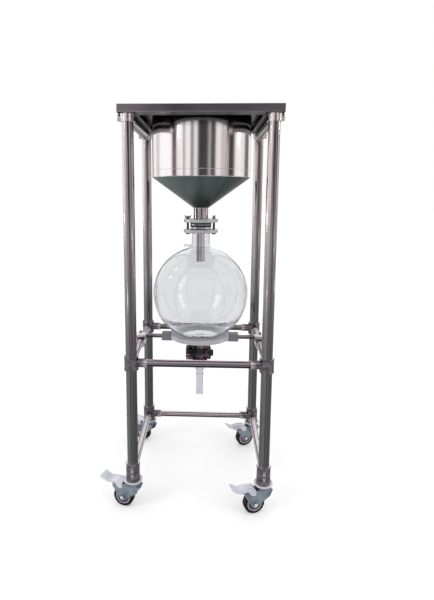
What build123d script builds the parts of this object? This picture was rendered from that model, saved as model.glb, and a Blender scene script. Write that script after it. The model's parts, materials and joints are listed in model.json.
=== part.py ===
from build123d import *
import math
import os

os.makedirs("parts", exist_ok=True)

# Mobile filter stand: a stainless bowl funnel hangs in a tube frame on four braked casters and
# drains through a clamped neck into a round glass receiver with a bottom drain valve.
# Millimetres, +Z up, floor at z = 0, origin on the floor midway between the four posts.
# The front, with no foot rail, faces -Y.

# ---- casters ----
wheel_d = 75.0
wheel_w = 25.0
tyre_t = 10.0
hub_w = 27.0
axle_d = 8.0
axle_head_d = 15.0
axle_head_h = 5.0
axle_lug_r = 12.5
trail = 35.0
fork_gap = 29.0
fork_t = 3.0
crown_d = 62.0
crown_foot_d = 54.0
crown_h = 14.0
crown_bottom_z = wheel_d + 12.0
swivel_gap = 0.4
top_disc_d = 66.0
top_disc_t = 4.3
caster_height = crown_bottom_z + crown_h + swivel_gap + top_disc_t
king_pin_d = 12.0
run_gap = 0.05              # radial gap of a pin in its bore
pin_head_d = 20.0
pin_head_h = 4.0
plug_length = 44.0
# Upper corners of a fork cheek: distance ahead of the swivel, depth under the crown, radius.
cheek_corners = [
    (-28.0, 2.0, 2.0),
    (-16.0, 21.0, 6.0),
    (46.0, 1.5, 2.0),
    (60.0, 5.5, 2.5),
    (72.0, 10.0, 3.0),
]
pivot_x = 41.0
pivot_z = wheel_d + 5.0
pivot_pin_d = 6.0
pivot_pin_out = 1.5
pedal_w = 42.0
pedal_t = 2.5
pedal_start = 34.0
pedal_z = wheel_d + 16.0
pedal_crown = 3.0           # rise of the arched plate at its middle
pedal_fall = 1.5            # and its fall at the bend
pedal_bend = 94.0
pedal_reach = 121.0
pedal_tip_w = 48.0
pedal_tip_rise = 14.0
pedal_side_gap = 0.5
pedal_rim_h = 3.5
shoe_w = 22.0
shoe_x = 64.5
shoe_foot = 3.0
shoe_length = 20.0
shoe_bottom_z = wheel_d - 4.5

# ---- tube frame ----
post_spacing = 460.0        # post axis to post axis, both ways
post_d = 38.0
post_wall = 1.5
joiner_length = 90.0
rail_d = 25.0
rail_wall = 1.5
top_rail_d = 28.0
foot_rail_z = caster_height + 26.3
mid_rail_z = 537.0
post_joint_z = mid_rail_z - 75.0    # butt joint in the front right post

# ---- support ring and rods ----
ring_d = 226.0
ring_bore = 140.0
ring_h = 16.0
seat_rise = 8.02            # inner edge of the seat above the ring's underside
seat_gap = 0.3
rod_d = 16.0
rod_z = mid_rail_z + 27.5
ring_bottom_z = rod_z - 1.5
rod_inner = 112.0           # inner end from the centre
rod_outer = 256.0
lug_outer = 147.0
lug_w = 34.0
lug_h = 28.5
cross_clamp_l = 44.0
cross_clamp_d = 36.0
clamp_slot = 3.0
rod_boss_d = 25.0
rod_boss_l = 40.0
clamp_screw_d = 6.0
clamp_screw_head_d = 10.0

# ---- glass receiver ----
flask_d = 356.0
flask_z = ring_bottom_z + seat_rise + math.sqrt((flask_d / 2 + seat_gap) ** 2 - (ring_bore / 2) ** 2)
glass_t = 4.0
neck_d = 68.0
neck_fillet = 22.0
outlet_d = 44.0
outlet_fillet = 12.0
outlet_flange_d = 60.0
outlet_flange_t = 7.0
outlet_flange_z = flask_z - flask_d / 2 - 24.0      # underside
nozzle_z = flask_z + flask_d / 2 + 4.0
nozzle_d = 9.0
nozzle_bore = 5.0
nozzle_reach = 62.0
barb_d = 11.5

# ---- drain valve ----
coupling_d = 80.0
coupling_h = 19.5
coupling_bottom_z = outlet_flange_z - 4.5
coupling_grooves = 16
coupling_groove_d = 8.0
valve_z = coupling_bottom_z - 29.5  # axis of the cross body, along X
valve_body_d = 40.0
valve_body_left = -26.0
valve_body_right = 44.0
valve_neck_d = 50.0
valve_collar_d = 44.0       # round foot of the body, above the union nut
valve_collar_bottom_z = valve_z - 21.0
union_nut_d = 47.0
union_nut_bottom_z = valve_collar_bottom_z - 8.0
valve_bore = 16.0
end_boss_d = 24.0
end_boss_out = 8.0
plug_d = 20.0
plug_right = 26.0           # end of the plug's bore
plug_end_gap = 0.5
port_d = 12.0
knob_d = 56.0
knob_t = 26.0
knob_flutes = 12
flute_d = 7.0
outlet_socket_top_z = valve_z - 7.0
outlet_head_top_z = valve_z - plug_d / 2 - 1.0
bulb_d = 34.0
bulb_bottom_z = valve_z - 61.0
tail_top_z = bulb_bottom_z - 14.0
tail_d = 27.0
tail_wall = 3.0
outlet_tube_bottom_z = tail_top_z - 91.0

# ---- clamped neck joint ----
neck_clamp_bottom_z = flask_z + flask_d / 2 + 53.0
clamp_plate_d = 127.0
clamp_plate_t = 12.0
glass_flange_t = 8.0
gasket_t = 6.0
steel_flange_t = 6.0
joint_d = 78.0              # flanges and gaskets
bolt_spacing = 97.0
bolt_d = 8.0
bolt_head_d = 15.0
bolt_head_h = 7.0
wing_nut_h = 8.0
wing_span = 30.0
clear_gap = 0.5             # loose hole round a bolt, stem or neck
lower_clamp_top = neck_clamp_bottom_z + clamp_plate_t
glass_flange_top = lower_clamp_top + glass_flange_t
steel_flange_bottom = glass_flange_top + gasket_t
steel_flange_top = steel_flange_bottom + steel_flange_t
upper_clamp_bottom = steel_flange_top + gasket_t
upper_clamp_top = upper_clamp_bottom + clamp_plate_t

# ---- funnel ----
funnel_d = 356.0
funnel_wall = 2.0
rim_d = 392.0
rim_t = 3.0
hole_gap = 1.5              # plate hole past the funnel wall
cone_bottom_z = upper_clamp_top + 40.0
bowl_bottom_z = cone_bottom_z + 110.0
stem_d = 54.0
drip_d = 32.0
drip_wall = 1.5
drip_bottom_z = neck_clamp_bottom_z - 109.0
pan_wall = 3.0              # bowl wall below the top of the sieve plate
ledge_w = 9.0
ledge_t = 3.0
sieve_z = bowl_bottom_z + 24.0      # underside of the sieve plate
sieve_t = 3.0
sieve_gap = 0.5
sieve_hole_d = 8.0
sieve_rings = 4
sieve_pitch = 36.0

# ---- top plate ----
plate_overhang = 30.0       # plate edge from the post axis
plate_size = post_spacing + 2 * plate_overhang
plate_top_z = bowl_bottom_z + 214.0
plate_t = 2.0
lip_h = 25.0
flange_w = 60.0             # inward return along the foot of the lip
plate_screw_d = 8.0
screw_head_d = 15.0
screw_head_h = 4.0

# ---- cast tube fittings ----
fit_gap = 0.1               # radial gap between a tube and its socket
sleeve_d = 48.0
bead_d = 50.5
bead_h = 6.0
socket_wall = 2.6
socket_reach = 54.0         # socket mouth from the post axis
socket_inset = 3.0          # floor of a rail socket from the sleeve's bore
rail_end_gap = 0.2          # rail end from the floor of its socket
mid_sleeve_h = 50.0
foot_sleeve_bottom = caster_height + 0.3
foot_sleeve_top = foot_sleeve_bottom + 64.0
top_rail_z = plate_top_z - 42.0
top_sleeve_bottom = top_rail_z - 8.0
cap_t = 4.0                 # closed top of the top fittings
boss_d = 22.0
boss_out = 7.0              # how far a top fitting's boss stands out of its sleeve
top_boss_z = plate_top_z - lip_h - boss_d / 2 - 2.0     # passes under the plate's lip
set_screw_d = 10.0
set_screw_sink = 0.5        # set screw face below the face it is driven into
set_screw_hex = 5.0
hex_depth = 3.5

half = post_spacing / 2
corners = {
    "front_left": (-1, -1),
    "front_right": (1, -1),
    "back_left": (-1, 1),
    "back_right": (1, 1),
}
# Trail direction of each caster as it stands, in degrees from +X.
caster_turn = {
    "front_left": 164.0,
    "front_right": 197.0,
    "back_left": 150.0,
    "back_right": 201.0,
}


def tube_z(outer, inner, bottom, top):
    """Upright tube from bottom to top on the Z axis."""
    height = top - bottom
    place = Pos(0, 0, bottom + height / 2)
    return place * (Cylinder(outer / 2, height) - Cylinder(inner / 2, height))


def bar_between(diameter, start, end):
    """Round bar from one point to another."""
    axis = Vector(*end) - Vector(*start)
    plane = Plane(origin=start, z_dir=axis)
    return extrude(plane * Circle(diameter / 2), axis.length)


def tube_between(outer, wall, start, end):
    """Round tube from one point to another."""
    return bar_between(outer, start, end) - bar_between(outer - 2 * wall, start, end)


def turned(points):
    """Solid of revolution about Z from (radius, z) points."""
    outline = Plane.XZ * make_face(Polyline([(r, z) for r, z in points], close=True))
    return revolve(outline, Axis.Z)


def write(shape, node, place=None):
    """Write one node, each of its solids where it stands."""
    solids = list(shape) if isinstance(shape, (list, tuple)) else [shape]
    if place is not None:
        solids = [place * solid for solid in solids]
    loose = [piece for solid in solids for piece in solid.solids()]
    export_step(Compound(children=loose) if len(loose) > 1 else loose[0], f"parts/{node}.step")


# ------------------------------------------------------------------ fittings

sleeve_bore = post_d + 2 * fit_gap


def socket_pair(outer, rail, direction, z):
    """Outer and inner bars of one rail socket that leaves the sleeve along direction."""
    dx, dy = direction
    reach = socket_reach
    shell = bar_between(outer, (0, 0, z), (dx * reach, dy * reach, z))
    inner = sleeve_bore / 2 + socket_inset
    hollow = bar_between(rail + 2 * fit_gap, (dx * inner, dy * inner, z), (dx * reach, dy * reach, z))
    return shell, hollow


def fitting(bottom, top, sockets, screw, capped):
    """Cast sleeve round a post, with rail sockets and a tapped hole for one set screw."""
    body = Pos(0, 0, (bottom + top) / 2) * Cylinder(sleeve_d / 2, top - bottom)
    if not capped:
        for z in (bottom + bead_h / 2, top - bead_h / 2):
            bead = Pos(0, 0, z) * Cylinder(bead_d / 2, bead_h)
            body += fillet(bead.edges().filter_by(GeomType.CIRCLE), bead_h / 2 - 0.6)
    hollows = []
    for direction, rail, z in sockets:
        shell, hollow = socket_pair(rail + 2 * fit_gap + 2 * socket_wall, rail, direction, z)
        body += shell
        hollows.append(hollow)
    (dx, dy), screw_z, face = screw
    if face > sleeve_d / 2:
        body += bar_between(boss_d, (0, 0, screw_z), (dx * face, dy * face, screw_z))
    bore_top = top - (cap_t if capped else 0)
    bore_bottom = bottom - socket_reach
    body -= Pos(0, 0, (bore_bottom + bore_top) / 2) * Cylinder(sleeve_bore / 2, bore_top - bore_bottom)
    for hollow in hollows:
        body -= hollow
    body -= bar_between(set_screw_d, (0, 0, screw_z), (dx * bead_d, dy * bead_d, screw_z))
    if capped:
        body -= Pos(0, 0, top - cap_t / 2) * Cylinder(plate_screw_d / 2, cap_t)
    return body


def set_screw(direction, z, face):
    """Socket set screw with its tip on the post, sunk a little below the face it enters."""
    dx, dy = direction
    tip = post_d / 2
    end = face - set_screw_sink
    screw = bar_between(set_screw_d, (dx * tip, dy * tip, z), (dx * end, dy * end, z))
    plane = Plane(origin=(dx * end, dy * end, z), z_dir=(-dx, -dy, 0))
    return screw - extrude(plane * RegularPolygon(set_screw_hex / 2, 6, major_radius=False), hex_depth)


under_plate_z = plate_top_z - plate_t
mid_sleeve_bottom = mid_rail_z - mid_sleeve_h / 2
mid_sleeve_top = mid_rail_z + mid_sleeve_h / 2
post_bottom_z = foot_sleeve_bottom + 2.0
post_top_z = under_plate_z - cap_t

screws = []
for name, (sx, sy) in corners.items():
    at_post = Pos(sx * half, sy * half, 0)
    inward_x = (-sx, 0)
    inward_y = (0, -sy)
    levels = {
        "top_fitting": (top_sleeve_bottom, under_plate_z, [(inward_y, top_rail_d, top_rail_z)]),
        "mid_fitting": (
            mid_sleeve_bottom,
            mid_sleeve_top,
            [(inward_x, rail_d, mid_rail_z), (inward_y, rail_d, mid_rail_z)],
        ),
        "foot_fitting": (
            foot_sleeve_bottom,
            foot_sleeve_top,
            [(inward_y, rail_d, foot_rail_z)] + ([(inward_x, rail_d, foot_rail_z)] if sy > 0 else []),
        ),
    }
    for kind, (bottom, top, sockets) in levels.items():
        is_top = kind == "top_fitting"
        direction = (0, sy) if kind == "foot_fitting" else (sx, 0)
        screw_z = top_boss_z if is_top else (bottom + top) / 2
        screw = (direction, screw_z, sleeve_d / 2 + (boss_out if is_top else 0))
        write(fitting(bottom, top, sockets, screw, is_top), f"{kind}_{name}", at_post)
        screws.append(at_post * set_screw(*screw))

# ------------------------------------------------------------------ posts and rails

post_bore = post_d - 2 * post_wall
for name, (sx, sy) in corners.items():
    at_post = Pos(sx * half, sy * half, 0)
    if name == "front_right":
        lower = tube_z(post_d, post_bore, post_bottom_z, post_joint_z)
        upper = tube_z(post_d, post_bore, post_joint_z, post_top_z)
        joiner_d = post_bore - 2 * fit_gap
        joiner_ends = (post_joint_z - joiner_length / 2, post_joint_z + joiner_length / 2)
        joiner = tube_z(joiner_d, joiner_d - 2 * post_wall, *joiner_ends)
        write([lower, upper, joiner], f"post_{name}", at_post)
    else:
        write(tube_z(post_d, post_bore, post_bottom_z, post_top_z), f"post_{name}", at_post)

rail_end = half - sleeve_bore / 2 - socket_inset - rail_end_gap
for side, sx in (("left", -1), ("right", 1)):
    x = sx * half
    for kind, d, z in (
        ("top_rail", top_rail_d, top_rail_z),
        ("mid_rail", rail_d, mid_rail_z),
        ("foot_rail", rail_d, foot_rail_z),
    ):
        write(tube_between(d, rail_wall, (x, -rail_end, z), (x, rail_end, z)), f"{kind}_{side}")
for side, sy in (("front", -1), ("back", 1)):
    y = sy * half
    levels = [("mid_rail", mid_rail_z)] + ([("foot_rail", foot_rail_z)] if sy > 0 else [])
    for kind, z in levels:
        write(tube_between(rail_d, rail_wall, (-rail_end, y, z), (rail_end, y, z)), f"{kind}_{side}")

# ------------------------------------------------------------------ top plate

funnel_r = funnel_d / 2
plate_hole_d = funnel_d + 2 * hole_gap


def top_plate():
    """Folded steel top: flat face, lip all round, and a return flange notched at the posts."""
    middle_z = plate_top_z - lip_h / 2
    outer = Pos(0, 0, middle_z) * Box(plate_size, plate_size, lip_h)
    outer = fillet(outer.edges().filter_by(Axis.Z), 3.0)
    outer = chamfer(outer.faces().sort_by(Axis.Z)[-1].edges(), 0.8)
    inside = plate_size - 2 * plate_t
    hollow_h = lip_h - 2 * plate_t
    outer -= Pos(0, 0, middle_z) * Box(inside, inside, hollow_h)
    opening = plate_size - 2 * flange_w
    floor_z = plate_top_z - lip_h + plate_t / 2
    outer -= Pos(0, 0, floor_z) * Box(opening, opening, plate_t)
    notch = inside / 2 - (half - sleeve_d / 2 - 3.0)
    centre = inside / 2 - notch / 2
    for sx, sy in corners.values():
        outer -= Pos(sx * centre, sy * centre, floor_z) * Box(notch, notch, plate_t)
        hole = Cylinder(plate_screw_d / 2, plate_t)
        outer -= Pos(sx * half, sy * half, plate_top_z - plate_t / 2) * hole
    return outer - Pos(0, 0, plate_top_z - plate_t / 2) * Cylinder(plate_hole_d / 2, plate_t)


def plate_screw():
    """Button head screw through the plate into a top fitting."""
    head = Pos(0, 0, plate_top_z + screw_head_h / 2) * Cylinder(screw_head_d / 2, screw_head_h)
    head = fillet(head.edges().filter_by(GeomType.CIRCLE).sort_by(Axis.Z)[-1:], 2.0)
    length = plate_t + cap_t
    return head + Pos(0, 0, plate_top_z - length / 2) * Cylinder(plate_screw_d / 2, length)


write(top_plate(), "top_plate")
screws += [Pos(sx * half, sy * half, 0) * plate_screw() for sx, sy in corners.values()]

# ------------------------------------------------------------------ funnel and sieve

stem_r = stem_d / 2
drip_r = drip_d / 2
bowl_r = funnel_r - funnel_wall
pan_r = funnel_r - pan_wall


def funnel():
    """Bowl, cone, stem, joint flange and drip tube, welded into one."""
    wall = funnel_wall
    ledge_bottom = sieve_z - ledge_t
    sieve_top = sieve_z + sieve_t
    slope = math.atan2(bowl_bottom_z - cone_bottom_z, funnel_r - stem_r)

    def inner_cone(radius):
        z = bowl_bottom_z - (funnel_r - radius) * math.tan(slope) + wall / math.cos(slope)
        return (radius, z)

    return turned([
        (bowl_r, plate_top_z + rim_t),
        (rim_d / 2, plate_top_z + rim_t),
        (rim_d / 2, plate_top_z),
        (funnel_r, plate_top_z),
        (funnel_r, bowl_bottom_z),
        (stem_r, cone_bottom_z),
        (stem_r, steel_flange_top),
        (joint_d / 2, steel_flange_top),
        (joint_d / 2, steel_flange_bottom),
        (drip_r, steel_flange_bottom),
        (drip_r, drip_bottom_z),
        (drip_r - drip_wall, drip_bottom_z),
        (drip_r - drip_wall, steel_flange_top),
        (stem_r - wall, steel_flange_top),
        inner_cone(stem_r - wall),
        inner_cone(pan_r),
        (pan_r, ledge_bottom),
        (pan_r - ledge_w, ledge_bottom),
        (pan_r - ledge_w, sieve_z),
        (pan_r, sieve_z),
        (pan_r, sieve_top),
        (bowl_r, sieve_top),
    ])


def sieve_plate():
    """Round plate with rings of drain holes; it rests on the ledge inside the bowl."""
    disc = Pos(0, 0, sieve_z + sieve_t / 2) * Cylinder(pan_r - sieve_gap, sieve_t)
    holes = [Pos(0, 0, sieve_z + sieve_t / 2) * Cylinder(sieve_hole_d / 2, sieve_t)]
    for ring in range(1, sieve_rings + 1):
        radius = ring * sieve_pitch
        for step in range(6 * ring):
            angle = math.tau * step / (6 * ring)
            x, y = radius * math.cos(angle), radius * math.sin(angle)
            holes.append(Pos(x, y, 0) * holes[0])
    return disc - holes


write(funnel(), "funnel")
write(sieve_plate(), "sieve_plate")

# ------------------------------------------------------------------ clamped neck

bolt_r = bolt_spacing / 2
bolt_hole_d = bolt_d + 2 * clear_gap


def clamp_plate(bottom, bore_d):
    """Round clamp plate with two bolt holes."""
    plate = Pos(0, 0, bottom + clamp_plate_t / 2) * Cylinder(clamp_plate_d / 2, clamp_plate_t)
    plate = fillet(plate.edges().filter_by(GeomType.CIRCLE), 1.5)
    plate -= Pos(0, 0, bottom + clamp_plate_t / 2) * Cylinder(bore_d / 2, clamp_plate_t)
    for sx in (-1, 1):
        hole = Cylinder(bolt_hole_d / 2, clamp_plate_t)
        plate -= Pos(sx * bolt_r, 0, bottom + clamp_plate_t / 2) * hole
    return plate


def clamp_bolt():
    """Hexagon bolt up through both clamp plates."""
    head = Pos(0, 0, neck_clamp_bottom_z - bolt_head_h)
    head *= extrude(RegularPolygon(bolt_head_d / 2, 6), bolt_head_h)
    top = upper_clamp_top + wing_nut_h + 3.0
    return head + bar_between(bolt_d, (0, 0, neck_clamp_bottom_z), (0, 0, top))


def wing_nut():
    """Round nut with two raised wings."""
    nut = Pos(0, 0, upper_clamp_top + wing_nut_h / 2) * Cone(8.0, 6.0, wing_nut_h)
    for side in (-1, 1):
        wing = Polyline(
            (side * 4.0, upper_clamp_top + 2.0),
            (side * 8.0, upper_clamp_top + 2.0),
            (side * wing_span / 2, upper_clamp_top + 11.0),
            (side * (wing_span / 2 - 2.0), upper_clamp_top + 15.0),
            (side * 8.5, upper_clamp_top + 12.0),
            (side * 4.0, upper_clamp_top + wing_nut_h),
            close=True,
        )
        blade = extrude(Plane.XZ * make_face(wing), 1.5, both=True)
        nut += blade
    return nut - bar_between(bolt_d, (0, 0, upper_clamp_top), (0, 0, upper_clamp_top + 30.0))


write(clamp_plate(neck_clamp_bottom_z, neck_d + 2 * clear_gap), "neck_clamp_lower")
write(clamp_plate(upper_clamp_bottom, stem_d + 2 * clear_gap), "neck_clamp_upper")
write([Pos(sx * bolt_r, 0, 0) * clamp_bolt() for sx in (-1, 1)], "neck_clamp_bolts")
write([Pos(sx * bolt_r, 0, 0) * wing_nut() for sx in (-1, 1)], "wing_nuts")
write(
    [
        tube_z(joint_d, neck_d - 2 * glass_t, glass_flange_top, steel_flange_bottom),
        tube_z(joint_d, stem_d + 2 * clear_gap, steel_flange_top, upper_clamp_bottom),
    ],
    "neck_gaskets",
)

# ------------------------------------------------------------------ glass receiver


def bulb_face(inset):
    """Half section of the bulb with its neck and outlet, taken in by inset from the outside."""
    ball = flask_d / 2 - inset
    neck = neck_d / 2 - inset
    out = outlet_d / 2 - inset
    joins = []
    for radius, blend, side in ((neck_d / 2, neck_fillet, 1), (outlet_d / 2, outlet_fillet, -1)):
        rise = math.sqrt((flask_d / 2 + blend) ** 2 - (radius + blend) ** 2)
        centre = (radius + blend, flask_z + side * rise)
        share = ball / (flask_d / 2 + blend)
        touch = (centre[0] * share, flask_z + (centre[1] - flask_z) * share)
        joins.append((centre, touch))
    (neck_c, neck_t), (out_c, out_t) = joins
    top = glass_flange_top
    bottom = outlet_flange_z

    def mid_arc(centre, start, end, radius):
        mx = (start[0] + end[0]) / 2 - centre[0]
        mz = (start[1] + end[1]) / 2 - centre[1]
        size = math.hypot(mx, mz)
        return (centre[0] + mx / size * radius, centre[1] + mz / size * radius)

    neck_s = (neck, neck_c[1])
    out_s = (out, out_c[1])
    edges = [
        Line((0, top), (neck, top)),
        Line((neck, top), neck_s),
        ThreePointArc(neck_s, mid_arc(neck_c, neck_s, neck_t, neck_fillet + inset), neck_t),
        ThreePointArc(neck_t, (ball, flask_z), out_t),
        ThreePointArc(out_t, mid_arc(out_c, out_t, out_s, outlet_fillet + inset), out_s),
        Line(out_s, (out, bottom)),
        Line((out, bottom), (0, bottom)),
        Line((0, bottom), (0, top)),
    ]
    return make_face(Wire(edges))


def flask():
    """Blown glass receiver: bulb, flanged neck, hose nozzle and flanged outlet."""
    shell = revolve(Plane.XZ * bulb_face(0), Axis.Z)
    shell += tube_z(joint_d, neck_d - glass_t, lower_clamp_top, glass_flange_top)
    shell += tube_z(
        outlet_flange_d, outlet_d - glass_t, outlet_flange_z, outlet_flange_z + outlet_flange_t
    )
    root = neck_d / 2 - glass_t / 2
    shell += bar_between(nozzle_d, (-root, 0, nozzle_z), (-nozzle_reach, 0, nozzle_z))
    for x in (nozzle_reach - 5.0, nozzle_reach - 17.0):
        barb = Plane(origin=(-x, 0, nozzle_z), z_dir=(-1, 0, 0)) * Cone(barb_d / 2, nozzle_d / 2, 8.0)
        shell += barb
    hollow = revolve(Plane.XZ * bulb_face(glass_t), Axis.Z)
    bore = bar_between(nozzle_bore, (0, 0, nozzle_z), (-nozzle_reach - 1, 0, nozzle_z))
    return shell - hollow - bore


write(flask(), "flask")

# ------------------------------------------------------------------ support ring and rods


def support_ring():
    """Ring with a round seat for the bulb and two drilled lugs."""
    top = ring_bottom_z + ring_h
    seat_r = flask_d / 2 + seat_gap
    ring = tube_z(ring_d, ring_bore, ring_bottom_z, top)
    ring = chamfer(ring.edges().filter_by(GeomType.CIRCLE).sort_by(Axis.Z)[-1:], 1.0)
    lug_top = rod_z + lug_h / 2
    for side in (-1, 1):
        inner = ring_d / 2 - 12.0
        length = lug_outer - inner
        lug = Pos(side * (inner + length / 2), 0, rod_z) * Box(length, lug_w, lug_h)
        ring += fillet(lug.edges().filter_by(Axis.Y), 2.0)
    ring -= Pos(0, 0, flask_z) * Sphere(seat_r)
    for side in (-1, 1):
        ring -= bar_between(
            rod_d + 2 * fit_gap, (side * rod_inner, 0, rod_z), (side * (lug_outer + 1), 0, rod_z)
        )
    return ring


def cross_clamp(side):
    """Cast clamp: a split collar on the side rail with a boss for the rod above it."""
    x = side * half
    reach = cross_clamp_l / 2
    body = bar_between(cross_clamp_d, (x, -reach, mid_rail_z), (x, reach, mid_rail_z))
    boss = bar_between(
        rod_boss_d, (x - rod_boss_l / 2, 0, rod_z), (x + rod_boss_l / 2, 0, rod_z)
    )
    web = Pos(x, 0, (mid_rail_z + rod_z) / 2) * Box(cross_clamp_d - 8, rod_boss_d - 1, rod_z - mid_rail_z)
    body += boss + web
    ends = ((x, -cross_clamp_l, mid_rail_z), (x, cross_clamp_l, mid_rail_z))
    body -= bar_between(rail_d + 2 * fit_gap, *ends)
    body -= bar_between(rod_d + 2 * fit_gap, (x - rod_boss_l, 0, rod_z), (x + rod_boss_l, 0, rod_z))
    body -= Pos(x, 0, mid_rail_z - cross_clamp_d / 2) * Box(clamp_slot, cross_clamp_l + 1, cross_clamp_d / 2)
    body -= bar_between(clamp_screw_d, (x, 0, rod_z), (x, 0, rod_z + rod_boss_d))
    return body


def clamp_screw(side):
    """Socket cap screw that pins the rod in its boss."""
    x = side * half
    top = rod_z + rod_boss_d / 2
    shank = bar_between(clamp_screw_d, (x, 0, rod_z + rod_d / 2), (x, 0, top + 1.0))
    head = bar_between(clamp_screw_head_d, (x, 0, top + 1.0), (x, 0, top + 6.0))
    socket = Pos(x, 0, top + 3.0) * extrude(RegularPolygon(2.2, 6), 4.0)
    return shank + head - socket


write(support_ring(), "support_ring")
write(
    [bar_between(rod_d, (s * rod_inner, 0, rod_z), (s * rod_outer, 0, rod_z)) for s in (-1, 1)],
    "ring_rods",
)
write([cross_clamp(side) for side in (-1, 1)], "cross_clamps")
write(screws + [clamp_screw(side) for side in (-1, 1)], "frame_screws")

# ------------------------------------------------------------------ drain valve


coupling_pocket_d = outlet_flange_d + 2 * clear_gap


def drain_coupling():
    """Fluted screw collar that holds the glass outlet flange down on the valve."""
    top = coupling_bottom_z + coupling_h
    collar = tube_z(coupling_d, outlet_d + 2 * clear_gap, coupling_bottom_z, top)
    collar = chamfer(collar.edges().filter_by(GeomType.CIRCLE).sort_by(Axis.Z)[-1:], 2.0)
    pocket_top = outlet_flange_z + outlet_flange_t + seat_gap
    pocket_h = pocket_top - coupling_bottom_z
    pocket = Pos(0, 0, coupling_bottom_z + pocket_h / 2) * Cylinder(coupling_pocket_d / 2, pocket_h)
    collar -= pocket
    for step in range(coupling_grooves):
        angle = 360.0 * step / coupling_grooves
        groove = Pos(coupling_d / 2 + 1.0, 0, coupling_bottom_z + coupling_h / 2)
        collar -= Rot(0, 0, angle) * groove * Cylinder(coupling_groove_d / 2, coupling_h)
    return collar


def valve_body():
    """Moulded cross body with a seat under the outlet flange and a bore for the turning plug."""
    seat_top = outlet_flange_z - seat_gap
    body = bar_between(valve_body_d, (valve_body_left, 0, valve_z), (valve_body_right, 0, valve_z))
    body = chamfer(body.edges().filter_by(GeomType.CIRCLE), 2.0)
    body += Pos(0, 0, (valve_z + seat_top) / 2) * Cylinder(valve_neck_d / 2, seat_top - valve_z)
    thread_d = coupling_pocket_d - 2 * fit_gap
    thread_h = seat_top - coupling_bottom_z
    body += Pos(0, 0, seat_top - thread_h / 2) * Cylinder(thread_d / 2, thread_h)
    collar_h = valve_z - valve_collar_bottom_z
    body += Pos(0, 0, valve_z - collar_h / 2) * Cylinder(valve_collar_d / 2, collar_h)
    body += bar_between(end_boss_d, (0, 0, valve_z), (valve_body_right + end_boss_out, 0, valve_z))
    body -= bar_between(valve_bore, (0, 0, valve_collar_bottom_z), (0, 0, seat_top))
    head_bore = bulb_d + 2 * fit_gap
    body -= bar_between(head_bore, (0, 0, valve_collar_bottom_z), (0, 0, outlet_socket_top_z))
    plug_bore = plug_d + 2 * run_gap
    return body - bar_between(plug_bore, (valve_body_left - 5.0, 0, valve_z), (plug_right, 0, valve_z))


def outlet_nut():
    """Union nut that holds the outlet tube's head up in the valve body."""
    nut = tube_z(union_nut_d, bulb_d + 2 * fit_gap, union_nut_bottom_z, valve_collar_bottom_z)
    return chamfer(nut.edges().filter_by(GeomType.CIRCLE).sort_by(SortBy.RADIUS)[-2:], 1.0)


knob_left = valve_body_left - 1.0 - knob_t


def valve_knob():
    """Fluted knob with the drilled plug that it turns."""
    knob = bar_between(knob_d, (knob_left, 0, valve_z), (knob_left + knob_t, 0, valve_z))
    knob = fillet(knob.edges().filter_by(GeomType.CIRCLE), 2.0)
    for step in range(knob_flutes):
        angle = math.tau * step / knob_flutes
        y = (knob_d / 2 + 1.0) * math.cos(angle)
        z = valve_z + (knob_d / 2 + 1.0) * math.sin(angle)
        knob -= bar_between(flute_d, (knob_left - 1, y, z), (knob_left + knob_t + 1, y, z))
    plug_end = plug_right - plug_end_gap
    plug = bar_between(plug_d, (knob_left + knob_t / 2, 0, valve_z), (plug_end, 0, valve_z))
    port = bar_between(port_d, (0, 0, valve_z - plug_d), (0, 0, valve_z + plug_d))
    return knob + plug - port


def drain_outlet():
    """Clear outlet tube: a wide head in the holder, a shoulder, and a plain tail."""
    bulb_r, tail_r = bulb_d / 2, tail_d / 2
    bore = tail_r - tail_wall
    return turned([
        (bulb_r - tail_wall, outlet_head_top_z),
        (bulb_r, outlet_head_top_z),
        (bulb_r, bulb_bottom_z),
        (bulb_r - 1.5, bulb_bottom_z - 4.0),
        (tail_r, tail_top_z),
        (tail_r, outlet_tube_bottom_z),
        (bore, outlet_tube_bottom_z),
        (bore, tail_top_z),
        (bulb_r - 1.5 - tail_wall, bulb_bottom_z - 4.0),
        (bulb_r - tail_wall, bulb_bottom_z),
    ])


write(drain_coupling(), "drain_coupling")
write(valve_body(), "valve_body")
write(outlet_nut(), "outlet_nut")
write(valve_knob(), "valve_knob")
write(drain_outlet(), "drain_outlet")

# ------------------------------------------------------------------ casters

wheel_r = wheel_d / 2
leg_inner = fork_gap / 2
leg_outer = leg_inner + fork_t
crown_top_z = crown_bottom_z + crown_h
disc_bottom_z = crown_top_z + swivel_gap
pin_hole_d = pivot_pin_d + 2 * run_gap


def caster_stem():
    """Fixed half of the swivel: plug in the post, top disc and riveted king pin."""
    post_plug_d = post_bore - 2 * fit_gap
    stem = Pos(0, 0, caster_height - top_disc_t / 2) * Cylinder(top_disc_d / 2, top_disc_t)
    stem = fillet(stem.edges().filter_by(GeomType.CIRCLE), 1.5)
    stem += bar_between(post_plug_d, (0, 0, caster_height - 1.0), (0, 0, caster_height + plug_length))
    stem += bar_between(king_pin_d, (0, 0, crown_bottom_z - fork_t - 1.0), (0, 0, disc_bottom_z + 1.0))
    head_top = crown_bottom_z - fork_t - swivel_gap
    head = Pos(0, 0, head_top - pin_head_h / 2) * Cylinder(pin_head_d / 2, pin_head_h)
    return stem + head


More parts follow.
